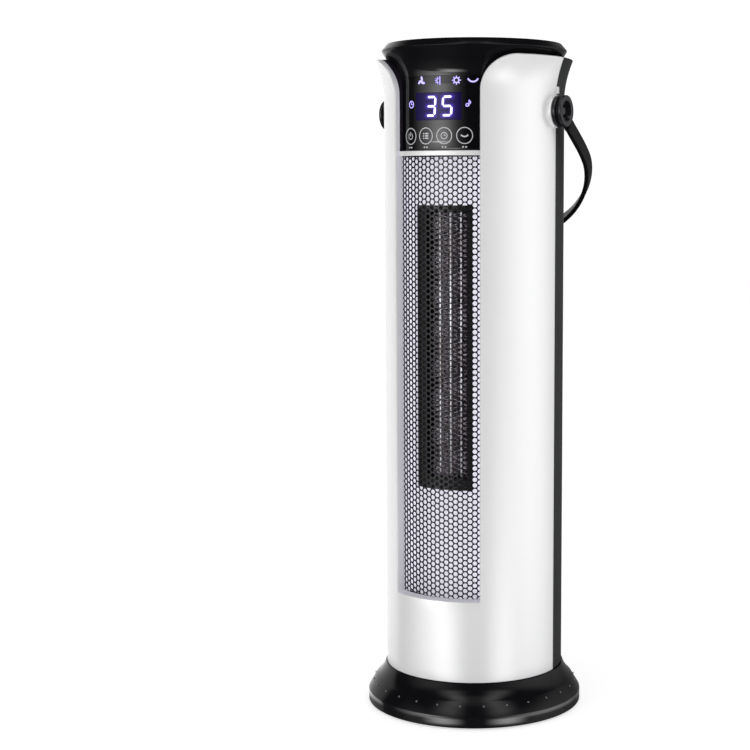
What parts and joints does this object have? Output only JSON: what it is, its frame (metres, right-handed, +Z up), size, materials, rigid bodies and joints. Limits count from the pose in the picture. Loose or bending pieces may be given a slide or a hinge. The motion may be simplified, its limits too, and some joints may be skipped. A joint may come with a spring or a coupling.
{
  "type": "ceramic tower heater",
  "caption": "Upright ceramic fan heater: a swivelling half-white, half-black tower with a perforated outlet, a touch display, a round base and a bail handle.",
  "frame": {"origin": "centre of the foot pad's underside, on the swivel axis", "axes": "+Z up along the tower, -Y towards the outlet, +X to the right as seen from the front"},
  "size_m": [0.1966, 0.2047, 0.6],
  "materials": {
    "white_shell": "glossy white moulding",
    "white_inner": "satin white moulding",
    "black_gloss": "high gloss black",
    "hub_gloss": "polished black",
    "handle_black": "semi-gloss black",
    "rear_black": "fine satin black",
    "panel_black": "mirror black lens",
    "display_blue": "lit blue-violet digits",
    "grille_black": "perforated sheet, black paint",
    "inner_black": "satin black",
    "rubber_black": "matt rubber",
    "zinc_steel": "zinc plated",
    "fin_aluminium": "dull aluminium",
    "bar_ceramic": "bright tube over ceramic stones",
    "nylon_natural": "natural nylon",
    "board_green": "solder mask",
    "bush_brass": "plain bronze and brass"
  },
  "bodies": {
    "base": {"foot_pad": "rubber_black", "base_plate": "zinc_steel", "base_cover": "black_gloss", "pivot_post": "nylon_natural", "fixed_gear": "nylon_natural", "slide_ring": "nylon_natural", "retaining_ring": "zinc_steel", "tip_switch": "inner_black", "cord_gland": "rubber_black", "base_screw_1": "zinc_steel", "base_screw_2": "zinc_steel", "base_screw_3": "zinc_steel", "base_screw_4": "zinc_steel"},
    "tower": {"turntable": "inner_black", "swivel_motor": "zinc_steel", "floor_plate": "inner_black", "front_shell": "white_shell", "rear_shell": "rear_black", "top_cap": "black_gloss", "outlet_bezel": "white_inner", "trim_strip": "white_shell", "grille": "grille_black", "control_panel": "panel_black", "display_module": "display_blue", "control_board": "board_green", "remote_receiver": "panel_black", "duct_front": "white_inner", "core_frame": "inner_black", "fin_stack_1": "fin_aluminium", "fin_stack_2": "fin_aluminium", "fin_stack_3": "fin_aluminium", "fin_stack_4": "fin_aluminium", "heating_bar_1": "bar_ceramic", "heating_bar_2": "bar_ceramic", "heating_bar_3": "bar_ceramic", "thermal_cutout": "bush_brass", "blower_scroll": "inner_black", "blower_motor": "zinc_steel", "blower_bush": "bush_brass", "power_board": "board_green", "switch_housing": "black_gloss", "shell_screw_1": "zinc_steel", "shell_screw_2": "zinc_steel", "shell_screw_3": "zinc_steel", "shell_screw_4": "zinc_steel", "pivot_stud_left": "hub_gloss", "pivot_stud_right": "hub_gloss", "hub_cap_left": "hub_gloss", "hub_cap_right": "hub_gloss"},
    "pinion": {"drive_pinion": "nylon_natural"},
    "plunger": {"tip_plunger": "nylon_natural"},
    "blower": {"blower_shaft": "zinc_steel", "blower_wheel": "fin_aluminium"},
    "rocker": {"power_rocker": "black_gloss"},
    "handle": {"handle_strap": "handle_black"}
  },
  "joints": [
    {"name": "swivel", "type": "hinge", "parent": "base", "child": "tower", "pos_m": [0, 0, 0.0372], "axis": [0, 0, 1], "range_deg": [-35, 35]},
    {"name": "pinion_turn", "type": "hinge", "parent": "tower", "child": "pinion", "pos_m": [0, 0.035, 0.0113], "axis": [0, 0, 1], "range_deg": [-106, 106]},
    {"name": "tip_plunger_drop", "type": "slide", "parent": "base", "child": "plunger", "axis": [0, 0, 1], "range_m": [-0.006, 0], "stiffness_N_per_m": 60, "springref_m": -0.012},
    {"name": "blower_spin", "type": "hinge", "parent": "tower", "child": "blower", "pos_m": [0, 0.014, 0.331], "axis": [0, 0, 1], "continuous": true},
    {"name": "rocker_press", "type": "hinge", "parent": "tower", "child": "rocker", "pos_m": [0, 0.0794, 0.075], "axis": [-1, 0, 0], "range_deg": [0, 20]},
    {"name": "handle_swing", "type": "hinge", "parent": "tower", "child": "handle", "pos_m": [0, 0, 0.5394], "axis": [1, 0, 0], "range_deg": [-5, 275]}
  ],
  "couplings": [
    {"joint": "pinion_turn", "follows": "swivel", "ratio": 3}
  ]
}
